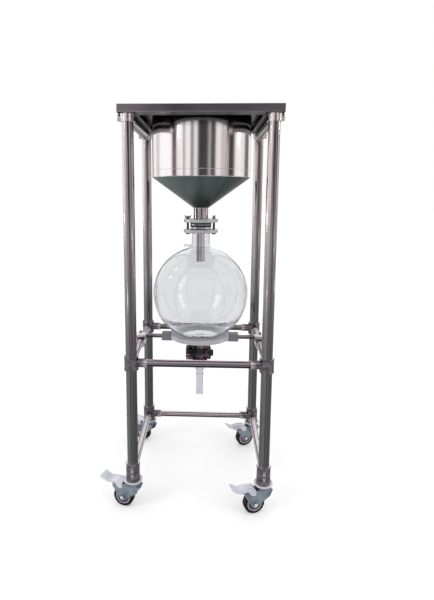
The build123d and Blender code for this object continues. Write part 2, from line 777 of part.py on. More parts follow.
def fork_leg(side):
    """One pressed cheek, from the crown down to the axle lug and forward under the pedal."""
    corners_2d = [Pos(x, crown_bottom_z - drop) * Circle(r) for x, drop, r in cheek_corners]
    corners_2d.append(Pos(trail, wheel_r) * Circle(axle_lug_r))
    outline = make_hull([edge for corner in corners_2d for edge in corner.edges()])
    face = Plane(origin=(0, side * leg_inner, 0), x_dir=(1, 0, 0), z_dir=(0, -1, 0)) * outline
    leg = extrude(face, fork_t * -side)
    leg -= bar_between(axle_d, (trail, -crown_d, wheel_r), (trail, crown_d, wheel_r))
    return leg - bar_between(pin_hole_d, (pivot_x, -crown_d, pivot_z), (pivot_x, crown_d, pivot_z))


def fork():
    """Pressed fork: bowl crown, flat web and two cheeks."""
    crown = Pos(0, 0, crown_bottom_z + crown_h / 2) * Cone(crown_foot_d / 2, crown_d / 2, crown_h)
    crown = fillet(crown.edges().filter_by(GeomType.CIRCLE), 2.0)
    web = Pos(0, 0, crown_bottom_z - fork_t / 2) * Box(crown_foot_d, 2 * leg_outer, fork_t)
    body = crown + web + fork_leg(-1) + fork_leg(1)
    bore = king_pin_d + 2 * run_gap
    return body - bar_between(bore, (0, 0, crown_bottom_z - 2 * fork_t), (0, 0, crown_top_z + 1))


def axle():
    """Axle bolt with a hexagon head and a domed nut."""
    bolt = bar_between(axle_d, (trail, -leg_outer, wheel_r), (trail, leg_outer, wheel_r))
    for side in (-1, 1):
        plane = Plane(origin=(trail, side * leg_outer, wheel_r), z_dir=(0, side, 0))
        bolt += extrude(plane * RegularPolygon(axle_head_d / 2, 6), axle_head_h)
    return bolt


def tyre():
    """Moulded tread ring with rounded shoulders."""
    ring = Cylinder(wheel_r, wheel_w) - Cylinder(wheel_r - tyre_t, wheel_w)
    rims = ring.edges().filter_by(GeomType.CIRCLE).sort_by(SortBy.RADIUS)[-2:]
    return Pos(trail, 0, wheel_r) * Rot(90, 0, 0) * fillet(rims, 4.0)


def hub():
    """Wheel centre: rim, thinner dished web and a bored boss."""
    rim_r = wheel_r - tyre_t
    half_w = wheel_w / 2
    section = [
        (axle_d / 2 + run_gap, -hub_w / 2),
        (9.0, -hub_w / 2),
        (11.0, -half_w + 4.0),
        (rim_r - 7.0, -half_w + 4.0),
        (rim_r - 5.0, -half_w),
        (rim_r, -half_w),
        (rim_r, half_w),
        (rim_r - 5.0, half_w),
        (rim_r - 7.0, half_w - 4.0),
        (11.0, half_w - 4.0),
        (9.0, hub_w / 2),
        (axle_d / 2 + run_gap, hub_w / 2),
    ]
    return Pos(trail, 0, wheel_r) * Rot(90, 0, 0) * turned(section)


def pedal():
    """Brake pedal: arched plate with a flared tip, two ears on a pin, and the brake shoe."""
    ear_inner = leg_outer + pedal_side_gap
    middle = (pedal_start + pedal_bend) / 2
    bend_z = pedal_z - pedal_fall
    under = [(pedal_start, pedal_z), (middle, pedal_z + pedal_crown), (pedal_bend, bend_z)]
    over = [(x, z + pedal_t) for x, z in under]
    arch = make_face(Wire([
        ThreePointArc(*under),
        Line(under[2], over[2]),
        ThreePointArc(*over[::-1]),
        Line(over[0], under[0]),
    ]))
    plate = extrude(Plane.XZ * arch, pedal_w / 2, both=True)
    tip_length = math.hypot(pedal_reach - pedal_bend, pedal_tip_rise)
    tilt = math.degrees(math.atan2(pedal_tip_rise, pedal_reach - pedal_bend))
    tip_face = make_face(Polyline(
        (-1.0, -pedal_w / 2),
        (tip_length * 0.4, -pedal_tip_w / 2),
        (tip_length, -pedal_tip_w / 2),
        (tip_length, pedal_tip_w / 2),
        (tip_length * 0.4, pedal_tip_w / 2),
        (-1.0, pedal_w / 2),
        close=True,
    ))
    tip = extrude(tip_face, pedal_t)
    tip = fillet(tip.edges().filter_by(Axis.Z).sort_by(Axis.X)[-2:], 6.0)
    body = plate + Pos(pedal_bend, 0, bend_z) * Rot(0, -tilt, 0) * tip
    rim_z = pedal_z - pedal_rim_h
    ear_outline = make_face(Polyline(
        (pedal_start, pedal_z + pedal_t / 2),
        (middle, pedal_z + pedal_crown + pedal_t / 2),
        (pedal_bend, bend_z + pedal_t / 2),
        (pedal_bend - 2.0, rim_z),
        (middle, rim_z + pedal_crown),
        (pivot_x + 8.0, pivot_z - 6.0),
        (pivot_x - 6.0, pivot_z - 6.0),
        (pivot_x - 7.0, pivot_z + 2.0),
        close=True,
    ))
    for side in (-1, 1):
        ear = Plane(origin=(0, side * ear_inner, 0), x_dir=(1, 0, 0), z_dir=(0, -1, 0)) * ear_outline
        body += extrude(ear, (pedal_w / 2 - ear_inner) * -side)
    pin_end = pedal_w / 2 + pivot_pin_out
    body += bar_between(pivot_pin_d, (pivot_x, -pin_end, pivot_z), (pivot_x, pin_end, pivot_z))
    shoe = make_face(Polyline(
        (shoe_x, pedal_z + pedal_crown + 1.0),
        (shoe_x, shoe_bottom_z),
        (shoe_x + shoe_foot, shoe_bottom_z),
        (shoe_x + shoe_length, pedal_z - pedal_rim_h - 3.0),
        (shoe_x + shoe_length, pedal_z + 1.0),
        close=True,
    ))
    return body + extrude(Plane.XZ * shoe, shoe_w / 2, both=True)


stems = []
for name, (sx, sy) in corners.items():
    place = Pos(sx * half, sy * half, 0) * Rot(0, 0, caster_turn[name])
    stems.append(Pos(sx * half, sy * half, 0) * caster_stem())
    write([fork(), axle()], f"caster_fork_{name}", place)
    write(tyre(), f"caster_tyre_{name}", place)
    write(hub(), f"caster_hub_{name}", place)
    write(pedal(), f"brake_pedal_{name}", place)
write(stems, "caster_stems")
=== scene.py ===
"""Looks of a mobile filter stand: tube frame, steel bowl funnel, glass receiver, drain valve and casters."""

import json
import math

import bpy
from mathutils import Matrix, Vector

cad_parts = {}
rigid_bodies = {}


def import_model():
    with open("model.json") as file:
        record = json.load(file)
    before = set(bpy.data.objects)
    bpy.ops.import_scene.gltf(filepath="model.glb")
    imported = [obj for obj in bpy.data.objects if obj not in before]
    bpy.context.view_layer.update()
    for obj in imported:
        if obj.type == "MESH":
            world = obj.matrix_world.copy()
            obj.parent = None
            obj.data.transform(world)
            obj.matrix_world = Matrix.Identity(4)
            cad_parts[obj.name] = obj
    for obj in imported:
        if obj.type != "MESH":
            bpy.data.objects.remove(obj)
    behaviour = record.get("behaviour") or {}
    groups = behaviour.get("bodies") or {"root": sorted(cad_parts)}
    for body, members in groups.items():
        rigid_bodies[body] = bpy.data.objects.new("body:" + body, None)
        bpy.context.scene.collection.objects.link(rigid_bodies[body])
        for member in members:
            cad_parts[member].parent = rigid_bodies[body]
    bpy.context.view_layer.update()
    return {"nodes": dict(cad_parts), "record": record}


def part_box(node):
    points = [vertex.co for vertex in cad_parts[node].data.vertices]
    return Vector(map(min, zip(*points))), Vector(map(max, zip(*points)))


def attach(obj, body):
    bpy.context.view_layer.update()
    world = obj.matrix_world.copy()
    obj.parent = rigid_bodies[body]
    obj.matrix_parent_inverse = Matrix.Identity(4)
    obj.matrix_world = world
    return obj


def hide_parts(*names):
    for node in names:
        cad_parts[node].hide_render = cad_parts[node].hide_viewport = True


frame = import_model()
nodes = frame["nodes"]

CORNERS = ("front_left", "front_right", "back_left", "back_right")
POST_OFFSET = 0.23
SIDES = (-1.0, 1.0)

# ---------------------------------------------------------------- camera

CAMERA_PLACE = (0.02819, -1.76234, 1.10098)
CAMERA_YAW = 0.041
CAMERA_PITCH = -0.157
CAMERA_ROLL = -0.004
CAMERA_LENS = 28.3
CAMERA_SHIFT = (0.0469, -0.0495)


def make_camera():
    """A wide lens at chest height, square to the front and tipped down a little."""
    data = bpy.data.cameras.new("camera")
    data.sensor_width = 36.0
    data.lens = CAMERA_LENS
    data.shift_x, data.shift_y = CAMERA_SHIFT
    data.clip_end = 100.0
    camera = bpy.data.objects.new("camera", data)
    bpy.context.scene.collection.objects.link(camera)
    camera.matrix_world = (
        Matrix.Translation(CAMERA_PLACE)
        @ Matrix.Rotation(CAMERA_YAW, 4, "Z")
        @ Matrix.Rotation(CAMERA_PITCH, 4, "X")
        @ Matrix.Rotation(CAMERA_ROLL, 4, "Y")
        @ Matrix.Rotation(math.pi / 2, 4, "X")
    )
    bpy.context.scene.camera = camera


# ---------------------------------------------------------------- node helpers


class Graph:
    """A short way to add and wire shader nodes."""

    def __init__(self, tree):
        self.tree = tree
        tree.nodes.clear()

    def add(self, kind, settings=None, **inputs):
        node = self.tree.nodes.new(kind)
        for name, value in (settings or {}).items():
            setattr(node, name, value)
        for name, value in inputs.items():
            self.put(node, name.replace("_", " "), value)
        return node

    def put(self, node, name, value):
        socket = node.inputs[int(name[1:])] if name.startswith("#") else node.inputs[name]
        if isinstance(value, bpy.types.NodeSocket):
            self.tree.links.new(value, socket)
        else:
            socket.default_value = value

    def math(self, operation, first, second=0.0):
        node = self.add("ShaderNodeMath", {"operation": operation})
        self.put(node, "#0", first)
        self.put(node, "#1", second)
        return node.outputs[0]

    def vector(self, operation, first, second=None):
        node = self.add("ShaderNodeVectorMath", {"operation": operation})
        self.put(node, "#0", first)
        if second is not None:
            self.put(node, "#1", second)
        return node.outputs["Vector"]

    def span(self, value, low, high, to_low=0.0, to_high=1.0):
        """Eases from one number to another as the value goes from low to high."""
        node = self.add("ShaderNodeMapRange", {"interpolation_type": "SMOOTHSTEP"})
        self.put(node, "Value", value)
        for name, number in zip(("From Min", "From Max", "To Min", "To Max"), (low, high, to_low, to_high)):
            self.put(node, name, number)
        return node.outputs["Result"]

    def mix(self, share, first, second):
        node = self.add("ShaderNodeMix", {"data_type": "RGBA"})
        self.put(node, "#0", share)
        self.put(node, "#6", first)
        self.put(node, "#7", second)
        return node.outputs[2]

    def noise(self, place, scale, detail=2.0, roughness=0.5):
        node = self.add("ShaderNodeTexNoise")
        for name, value in (("Vector", place), ("Scale", scale), ("Detail", detail), ("Roughness", roughness)):
            self.put(node, name, value)
        return node.outputs["Fac"]

    def bump(self, height, distance, strength=1.0):
        node = self.add("ShaderNodeBump")
        for name, value in (("Height", height), ("Distance", distance), ("Strength", strength)):
            self.put(node, name, value)
        return node.outputs["Normal"]


def shade(*rgb):
    """A colour as seen on screen, 0 to 255, turned into the linear value that a shader takes."""
    linear = [((c / 255 + 0.055) / 1.055) ** 2.4 if c > 10 else c / 255 / 12.92 for c in rgb]
    return (*linear, 1.0)


def new_material(name, **fixed):
    """A Principled material with some sockets fixed by name; returns it with its graph, shader and place."""
    material = bpy.data.materials.new(name)
    material.use_nodes = True
    graph = Graph(material.node_tree)
    shader = graph.add("ShaderNodeBsdfPrincipled")
    for socket, value in fixed.items():
        graph.put(shader, socket.replace("_", " "), value)
    graph.add("ShaderNodeOutputMaterial", Surface=shader.outputs[0])
    place = graph.add("ShaderNodeTexCoord").outputs["Object"]
    return material, graph, shader, place


def stretched(graph, place, scale):
    """The place with each axis scaled by its own number, which draws a pattern out along the small ones."""
    return graph.vector("MULTIPLY", place, scale)


def level_direction(graph, place):
    """The level direction of a place from the upright axis it is measured from."""
    return graph.vector("NORMALIZE", graph.vector("MULTIPLY", place, (1.0, 1.0, 0.0)))


def axis_of(graph, vector, axis):
    """One of a vector's three numbers."""
    return graph.add("ShaderNodeSeparateXYZ", Vector=vector).outputs[axis]


def facing_up(graph):
    """How far a face looks up: 1 for a top, 0 for an upright wall, -1 for an underside."""
    return axis_of(graph, graph.add("ShaderNodeNewGeometry").outputs["Normal"], "Z")


# ---------------------------------------------------------------- metals

# Painted light for the tubes: a rose highlight, a grey shade, the lit and shaded sides of the dull low posts, a
# dark reflection line and a dark green underside shade.
PAINTED_ROSE_HIGHLIGHT = shade(240, 228, 230)
PAINTED_SHADE_STEEL = shade(114, 104, 110)
LOW_PAINTED_LIT_SIDE = shade(128, 131, 127)
LOW_PAINTED_SHADE_SIDE = shade(100, 96, 102)
PAINTED_DARK_REFLECTION = shade(74, 72, 76)
PAINTED_UNDERSIDE_SHADE = shade(52, 60, 57)
TUBE_POLISH = (0.12, 0.24)      # roughness between and on the draw marks
DRAW_MARK = 0.00004
BRIGHT_TUBE_Z = (0.50, 1.15)    # a post is painted dull below the first height and bright above the second, a painted reflection
FINE = 900.0


def draw_marks(graph, shader, place, stretch):
    """Fine marks along a drawn tube, in its polish and its surface."""
    lines = graph.noise(stretched(graph, place, stretch), 1.0, 3.0)
    graph.put(shader, "Roughness", graph.span(lines, 0.3, 0.7, *TUBE_POLISH))
    graph.put(shader, "Normal", graph.bump(lines, DRAW_MARK))


def upright_tube():
    """Polished drawn tube: painted rose highlight streaks and painted grey shade above, dull below with a
    painted lit side, a painted shaded side and a painted dark reflection line.
    """
    material, graph, shader, place = new_material("upright_tube", Metallic=1.0)
    corner = graph.vector("MULTIPLY", graph.vector("SIGN", place), (POST_OFFSET, POST_OFFSET, 0.0))
    direction = level_direction(graph, graph.vector("SUBTRACT", place, corner))
    drift = graph.noise(stretched(graph, place, (0.0, 0.0, 3.0)), 1.0, 2.0)
    drift = graph.math("MULTIPLY", graph.math("SUBTRACT", drift, 0.5), 0.25)
    across = graph.math("ADD", axis_of(graph, direction, "X"), drift)
    # Above, a painted rose highlight on one side, painted grey shade on the other, and painted highlight
    # streaks.
    streak = graph.span(graph.noise(direction, 3.4, 3.0, 0.6), 0.40, 0.62)
    upper = graph.mix(graph.span(across, -0.50, -0.15), PAINTED_ROSE_HIGHLIGHT, PAINTED_SHADE_STEEL)
    upper = graph.mix(graph.math("MULTIPLY", streak, 0.55), upper, PAINTED_ROSE_HIGHLIGHT)
    # Below, a painted lit side and a painted shaded side, crossed by a painted dark reflection line.
    lower = graph.mix(graph.span(across, -0.05, 0.30), LOW_PAINTED_LIT_SIDE, LOW_PAINTED_SHADE_SIDE)
    # A painted dark reflection line between the lit and shaded sides.
    line = graph.math("MULTIPLY", graph.span(across, -0.22, -0.10), graph.span(across, 0.06, -0.04))
    lower = graph.mix(line, lower, PAINTED_DARK_REFLECTION)
    height = axis_of(graph, place, "Z")
    graph.put(shader, "Base Color", graph.mix(graph.span(height, *BRIGHT_TUBE_Z), lower, upper))
    draw_marks(graph, shader, place, (FINE, FINE, 6.0))
    return material


def level_tube(name, along, pale, middle, under, metallic=1.0):
    """Polished drawn tube lying level: a painted highlight on the crown, a painted dark reflection line, a
    middle tone and a painted underside shade.
    """
    material, graph, shader, place = new_material(name, Metallic=metallic)
    up = facing_up(graph)
    # Tones by which way the face looks: a painted shade on the underside and a painted highlight on the crown.
    tone = graph.mix(graph.span(up, -0.30, 0.0), under, middle)
    # A painted dark reflection line just below the crown.
    line = graph.math("MULTIPLY", graph.span(up, 0.66, 0.74), graph.span(up, 0.92, 0.84))
    tone = graph.mix(line, tone, PAINTED_DARK_REFLECTION)
    graph.put(shader, "Base Color", graph.mix(graph.span(up, 0.86, 0.93), tone, pale))
    draw_marks(graph, shader, place, (7.0, FINE, FINE) if along == "X" else (FINE, 7.0, FINE))
    return material


def cast_fitting(name, dark, light):
    """Investment cast and tumble polished, with a faint orange peel and a painted rose highlight on its edges.
    """
    material, graph, shader, place = new_material(name, Metallic=1.0)
    peel = graph.noise(place, 420.0, 2.0)
    cloud = graph.noise(place, 60.0, 2.0)
    bevel = graph.add("ShaderNodeNewGeometry").outputs["Pointiness"]
    tone = graph.mix(graph.span(cloud, 0.35, 0.65), dark, light)
    # Edges are mixed towards the painted rose highlight by their pointiness.
    graph.put(shader, "Base Color", graph.mix(graph.span(bevel, 0.52, 0.60), tone, PAINTED_ROSE_HIGHLIGHT))
    graph.put(shader, "Roughness", graph.span(cloud, 0.3, 0.7, 0.14, 0.28))
    graph.put(shader, "Normal", graph.bump(peel, 0.0003, 0.5))
    return material


SHOULDER_Z = 1.166
WELD_Z = 1.190
STEM_TOP_Z = 1.057
FLANGE_Z = (0.9922, 0.9978)
FLANGE_EDGE = 0.0007
SHADED_Z = (1.318, 1.357)       # the bowl is painted darker from here to the plate's underside, a painted shade
EDGE = 0.001


def between(graph, value, low, high, edge):
    """1 where the value lies between two limits, with a soft edge outside each."""
    return graph.math("MULTIPLY", graph.span(value, low - edge, low), graph.span(value, high + edge, high))


def bowl_steel():
    """Mirror polished bowl with a painted shade towards the plate, dull grey-green cone with painted side
    shade, and a stem with painted reflection stripes.
    """
    material, graph, shader, place = new_material("bowl_steel", Metallic=1.0)
    direction = level_direction(graph, place)
    across = axis_of(graph, direction, "X")
    height = axis_of(graph, place, "Z")
    # Bands by direction round the axis: partly polish and partly painted reflection.
    bands = graph.span(graph.noise(direction, 4.0, 2.0, 0.55), 0.40, 0.62)
    bowl = graph.mix(bands, shade(232, 222, 224), shade(253, 247, 249))
    # Painted shade: the bowl darkens towards the plate's underside.
    bowl = graph.mix(graph.span(height, *SHADED_Z), bowl, shade(128, 122, 124))
    # The cone's dull grey-green is partly its finish and partly a painted reflection; it is painted lighter on
    # its left and darker on its right, a painted shade, and faintly banded with painted reflection.
    cone = graph.mix(graph.span(across, 0.0, 0.8), shade(108, 122, 118), shade(52, 65, 61))
    cone = graph.mix(graph.math("MULTIPLY", bands, 0.4), cone, shade(120, 128, 122))
    # Painted reflection stripes on the stem and drip tube.
    stripes = graph.span(graph.noise(direction, 7.0, 2.0, 0.6), 0.44, 0.56)
    stem = graph.mix(stripes, shade(76, 66, 70), shade(222, 212, 214))
    flange = graph.mix(bands, shade(122, 126, 126), shade(150, 153, 152))
    on_cone = graph.math("MULTIPLY", graph.span(height, SHOULDER_Z + EDGE / 2, SHOULDER_Z - 1.5 * EDGE),
                         graph.span(height, STEM_TOP_Z - EDGE, STEM_TOP_Z + EDGE))
    tone = graph.mix(on_cone, bowl, cone)
    tone = graph.mix(graph.span(height, STEM_TOP_Z, STEM_TOP_Z - EDGE), tone, stem)
    tone = graph.mix(between(graph, height, *FLANGE_Z, FLANGE_EDGE), tone, flange)
    graph.put(shader, "Base Color", tone)
    rub = graph.noise(stretched(graph, place, (40.0, 40.0, 700.0)), 1.0, 3.0)
    polish = graph.mix(on_cone, (0.10, 0.10, 0.10, 1.0), (0.28, 0.28, 0.28, 1.0))
    graph.put(shader, "Roughness", graph.math("ADD", polish, graph.span(rub, 0.3, 0.7, 0.0, 0.05)))
    swell = graph.math("ADD", graph.noise(place, 9.0, 1.0), graph.math("MULTIPLY", rub, 0.01))
    graph.put(shader, "Normal", graph.bump(swell, 0.0008, 0.5))
    return material


HEM_Z = (1.3592, 1.3578)
PALER_ENDS_X = (0.08, 0.26)


def plate_steel():
    """Brushed sheet: grain along X, a dark lip with a painted highlight on its hem and paler ends, painted
    lighter on top and a painted dark green-grey shade underneath.
    """
    material, graph, shader, place = new_material("plate_steel", Metallic=1.0)
    up = facing_up(graph)
    grain = graph.noise(stretched(graph, place, (14.0, FINE, FINE)), 1.0, 4.0, 0.7)
    cloud = graph.noise(place, 7.0, 2.0)
    # The lip is paler towards its ends.
    lightened = graph.span(graph.math("ABSOLUTE", axis_of(graph, place, "X")), *PALER_ENDS_X)
    lip = graph.mix(graph.span(cloud, 0.35, 0.65), shade(82, 75, 80), shade(106, 98, 103))
    lip = graph.mix(graph.math("MULTIPLY", lightened, 0.6), lip, shade(150, 140, 146))
    # A painted highlight along the hem at the lip's lower edge.
    hem = graph.math("MULTIPLY", graph.span(axis_of(graph, place, "Z"), *HEM_Z), 0.35)
    lip = graph.mix(hem, lip, shade(190, 182, 186))
    # By which way each face looks: the top is painted lighter and the underside a painted dark green-grey
    # shade.
    face = graph.mix(graph.span(up, 0.4, 0.9), lip, shade(176, 172, 174))
    tone = graph.mix(graph.span(up, -0.4, -0.9), face, shade(58, 66, 64))
    brushed = graph.span(grain, 0.3, 0.7, 0.0, 0.12)
    graph.put(shader, "Base Color", graph.mix(brushed, tone, shade(210, 205, 206)))
    graph.put(shader, "Roughness", graph.span(grain, 0.3, 0.7, 0.26, 0.42))
    graph.put(shader, "Normal", graph.bump(grain, 0.00015, 0.6))
    return material


def plain_metal(name, dark, light, roughness, grain_scale=300.0, bump=0.0002, metallic=1.0):
    """Metal with a fine grain, slightly mottled between two tones."""
    material, graph, shader, place = new_material(name, Metallic=metallic)
    mottle = graph.noise(place, grain_scale * 0.15, 3.0)
    grain = graph.noise(place, grain_scale, 3.0)
    graph.put(shader, "Base Color", graph.mix(graph.span(mottle, 0.35, 0.65), dark, light))
    graph.put(shader, "Roughness", graph.span(grain, 0.3, 0.7, roughness - 0.06, roughness + 0.06))
    graph.put(shader, "Normal", graph.bump(grain, bump, 0.5))
    return material


# ---------------------------------------------------------------- glass, plastic and rubber


def clear_glass(name, tint, waviness, wave_scale):
    """Blown borosilicate: slowly wavy, with painted glints where streaks of it are a little clearer."""
    material, graph, shader, place = new_material(name, IOR=1.47, Transmission_Weight=1.0, Roughness=0.0)
    graph.put(shader, "Normal", graph.bump(graph.noise(place, wave_scale, 2.0), waviness, 0.5))
    lean = graph.vector("CROSS_PRODUCT", place, (0.0, 1.0, 0.0))
    leaning = graph.vector("ADD", place, graph.vector("MULTIPLY", lean, (0.7, 0.0, 0.0)))
    # Painted glints: streaks where the tint turns to white, so the glass shows brighter there.
    streaks = graph.span(graph.noise(stretched(graph, leaning, (90.0, 60.0, 42.0)), 1.0, 1.0), 0.63, 0.67)
    painted_glints = graph.math("MULTIPLY", streaks, graph.span(graph.noise(place, 11.0, 1.0), 0.46, 0.54))
    graph.put(shader, "Base Color", graph.mix(painted_glints, tint, (1.0, 1.0, 1.0, 1.0)))
    return material


SKIN_DEPTH = 0.0002
SKIN_SPREAD = 0.06


def moulded(name, dark, light, roughness, scale=240.0, gloss=0.5, over=None):
    """Moulded plastic or rubber with a fine skin, and a tone that another function may paint over."""
    material, graph, shader, place = new_material(name, Specular_IOR_Level=gloss)
    cloud = graph.noise(place, scale * 0.1, 2.0)
    skin = graph.noise(place, scale, 3.0)
    tone = graph.mix(graph.span(cloud, 0.35, 0.65), dark, light)
    graph.put(shader, "Base Color", over(graph, place, cloud, tone) if over else tone)
    graph.put(shader, "Roughness", graph.span(skin, 0.3, 0.7, roughness - SKIN_SPREAD, roughness + SKIN_SPREAD))
    graph.put(shader, "Normal", graph.bump(skin, SKIN_DEPTH, 0.5))
    return material


def painted_highlight_edges(graph, place, cloud, tone):
    """A painted rosy highlight along the edges, in patches."""
    bevel = graph.add("ShaderNodeNewGeometry").outputs["Pointiness"]
    # Painted highlight: edges are mixed towards a rosy tone by their pointiness.
    lightened = graph.math("MULTIPLY", graph.span(bevel, 0.51, 0.58), graph.span(cloud, 0.42, 0.62))
    return graph.mix(lightened, tone, shade(150, 124, 136))


LUG_X = (0.107, 0.110)


def dark_lugs(graph, place, cloud, tone):
    """The support ring's two side lugs, darker than the ring."""
    reach = graph.math("ABSOLUTE", axis_of(graph, place, "X"))
    return graph.mix(graph.span(reach, *LUG_X), tone, shade(124, 123, 129))


def dress(material, *names):
    """Gives CAD nodes a finish, and hands it back for the pieces that share it."""
    for name in names:
        mesh = nodes[name].data
        mesh.materials.clear()
        mesh.materials.append(material)
    return material


def each_corner(*kinds):
    return [f"{kind}_{corner}" for kind in kinds for corner in CORNERS]


def dress_frame():
    """Finishes for the posts, rails, fittings and top plate."""
    dress(upright_tube(), *each_corner("post"))
    # Each level tube takes a painted crown highlight, a middle tone and a painted underside shade, in that
    # order; the top rails are painted dark above and pale below, a painted reflection, and the foot rails take
    # the painted dark reflection beneath.
    dress(level_tube("front_rails", "X", shade(226, 214, 220), shade(154, 141, 149), PAINTED_UNDERSIDE_SHADE),
          "mid_rail_front", "mid_rail_back", "ring_rods")
    dress(level_tube("foot_rails", "X", shade(240, 230, 234), shade(200, 186, 194), PAINTED_DARK_REFLECTION),
          "foot_rail_back")
    dress(level_tube("side_rails", "Y", shade(240, 230, 237), shade(222, 212, 219), shade(170, 160, 166), 0.45),
          "mid_rail_left", "mid_rail_right", "foot_rail_left", "foot_rail_right")
    dress(level_tube("top_rails", "Y", shade(84, 80, 84), shade(86, 82, 86), shade(150, 144, 148)),
          "top_rail_left", "top_rail_right")
    # Top and low castings are one cast steel: the low ones are painted darker, a painted shade.
    dress(cast_fitting("top_castings", shade(170, 160, 165), shade(226, 216, 220)), *each_corner("top_fitting"))
    dress(cast_fitting("low_castings", shade(96, 90, 96), shade(136, 130, 134)),
          *each_corner("mid_fitting", "foot_fitting"), "cross_clamps")
    dress(plain_metal("screw_steel", shade(120, 120, 124), shade(170, 168, 172), 0.28), "frame_screws")
    dress(plate_steel(), "top_plate")


def dress_filter():
    """Finishes for the funnel, neck clamp, receiver, ring and valve; returns those that pieces share."""
    dress(bowl_steel(), "funnel")
    dress(plain_metal("sieve_steel", shade(170, 168, 170), shade(205, 202, 203), 0.3), "sieve_plate")
    dress(plain_metal("clamp_alloy", shade(198, 201, 203), shade(220, 222, 224), 0.42, 500.0, 0.0005),
          "neck_clamp_lower", "neck_clamp_upper")
    dress(moulded("gasket_rubber", shade(22, 22, 26), shade(34, 34, 38), 0.6), "neck_gaskets")
    dress(clear_glass("receiver_glass", shade(251, 252, 254), 0.0012, 22.0), "flask")
    black = moulded("black_plastic", shade(12, 9, 14), shade(26, 20, 27), 0.22, gloss=0.4, over=painted_highlight_edges)
    grey = moulded("ring_plastic", shade(188, 187, 192), shade(200, 199, 205), 0.42, over=dark_lugs)
    return {
        "bolt": dress(plain_metal("bolt_steel", shade(52, 50, 54), shade(86, 84, 88), 0.3), "neck_clamp_bolts"),
        "wing": dress(plain_metal("wing_steel", shade(120, 118, 120), shade(176, 172, 174), 0.3), "wing_nuts"),
        "glass": dress(clear_glass("outlet_glass", shade(242, 240, 246), 0.0030, 60.0), "drain_outlet"),
        "ring": dress(grey, "support_ring"),
        "valve": dress(black, "drain_coupling", "valve_body", "outlet_nut", "valve_knob"),
        "seam": plain_metal("seam_steel", shade(200, 190, 192), shade(240, 232, 232), 0.25, 500.0),
        "rust": moulded("joint_rust", shade(96, 44, 40), shade(128, 72, 60), 0.7, 600.0),
    }


def dress_casters():
    """Finishes for the casters; returns those that pieces share."""
    fork = plain_metal("zinc_steel", shade(138, 150, 160), shade(176, 186, 198), 0.34, 160.0)
    bright = plain_metal("bright_zinc", shade(226, 226, 238), shade(248, 248, 254), 0.38, 160.0, metallic=0.7)
    pedal = plain_metal("pedal_steel", shade(222, 223, 235), shade(242, 243, 250), 0.42, 160.0, metallic=0.6)
    tyre = moulded("tyre_rubber", shade(12, 10, 14), shade(24, 22, 27), 0.5, gloss=0.3)
    dress(fork, *each_corner("caster_fork"))
    dress(bright, "caster_stems")
    dress(pedal, *each_corner("brake_pedal"))
    dress(moulded("hub_plastic", shade(100, 86, 104), shade(124, 110, 128), 0.4), *each_corner("caster_hub"))
    dress(tyre, *each_corner("caster_tyre"))
    pale_hub = moulded("hub_ring_plastic", shade(168, 150, 166), shade(190, 172, 188), 0.36)
    return {
        "hub_rings": pale_hub, "hub_beads": pale_hub, "sidewall_rings": tyre, "axle_caps": bright,
        "pedal_ribs": pedal, "disc_lip": bright,
    }


# ---------------------------------------------------------------- modelling helpers


def clear_selection():
    bpy.ops.object.select_all(action="DESELECT")


def make_active(piece):
    clear_selection()
    piece.select_set(True)
    bpy.context.view_layer.objects.active = piece


def pick_faces(piece, wanted):
    """Enters edit mode with only the faces selected whose centre and normal pass the test."""
    bpy.context.tool_settings.mesh_select_mode = (False, False, True)
    mesh = piece.data
    for item in (*mesh.vertices, *mesh.edges):
        item.select = False
    for face in mesh.polygons:
        face.select = wanted(face.center, face.normal)
    bpy.ops.object.mode_set(mode="EDIT")


def leave_edit():
    bpy.ops.object.mode_set(mode="OBJECT")


def settle(piece):
    """Puts the piece's place, turn and scale into its mesh."""
    make_active(piece)
    bpy.ops.object.transform_apply(location=True, rotation=True, scale=True)


def bevel_edges(piece, width, segments=2, angle=35.0):
    make_active(piece)
    bevel = piece.modifiers.new("edges", "BEVEL")
    bevel.width = width
    bevel.segments = segments
    bevel.angle_limit = math.radians(angle)
    bpy.ops.object.modifier_apply(modifier=bevel.name)


def close_up(piece, smooth=40.0):
    """Merges doubles, turns all faces outwards and smooths the shallow edges."""
    make_active(piece)
    bpy.ops.object.mode_set(mode="EDIT")
    bpy.ops.mesh.select_all(action="SELECT")
    bpy.ops.mesh.remove_doubles(threshold=0.000002)
    bpy.ops.mesh.normals_make_consistent(inside=False)
    leave_edit()
    bpy.ops.object.shade_smooth_by_angle(angle=math.radians(smooth))


def finish(piece, name, body, material):
    """Names a finished piece, gives it its finish and lets it ride on its body."""
    piece.name = name
    piece.data.name = name
    piece.data.materials.clear()
    piece.data.materials.append(material)
    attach(piece, body)


def copy_at(piece, place):
    """A copy with its own mesh, moved by a matrix that goes into that mesh."""
    copy = piece.copy()
    copy.data = piece.data.copy()
    bpy.context.scene.collection.objects.link(copy)
    copy.data.transform(place)
    return copy


def join(pieces):
    clear_selection()
    for piece in pieces:
        piece.select_set(True)
    bpy.context.view_layer.objects.active = pieces[0]
    bpy.ops.object.join()
    return pieces[0]


def drop(piece):
    bpy.data.objects.remove(piece, do_unlink=True)


def ring(radius, thickness, height, place=(0.0, 0.0, 0.0), turn=(0.0, 0.0, 0.0), segments=72):
    """A flat-topped round-edged ring: a torus pressed flat, with its crown faces drawn up a little."""
    clear_selection()
    bpy.ops.mesh.primitive_torus_add(major_radius=radius, minor_radius=thickness / 2, major_segments=segments,
                                     minor_segments=12)
    piece = bpy.context.object
    piece.scale = (1.0, 1.0, height / thickness)
    settle(piece)
    pick_faces(piece, lambda centre, normal: abs(normal.z) > 0.9)
    bpy.ops.mesh.inset(thickness=thickness * 0.06, use_select_inset=False)
    leave_edit()
    piece.location = place
    piece.rotation_euler = turn
    settle(piece)
    close_up(piece)
    return piece


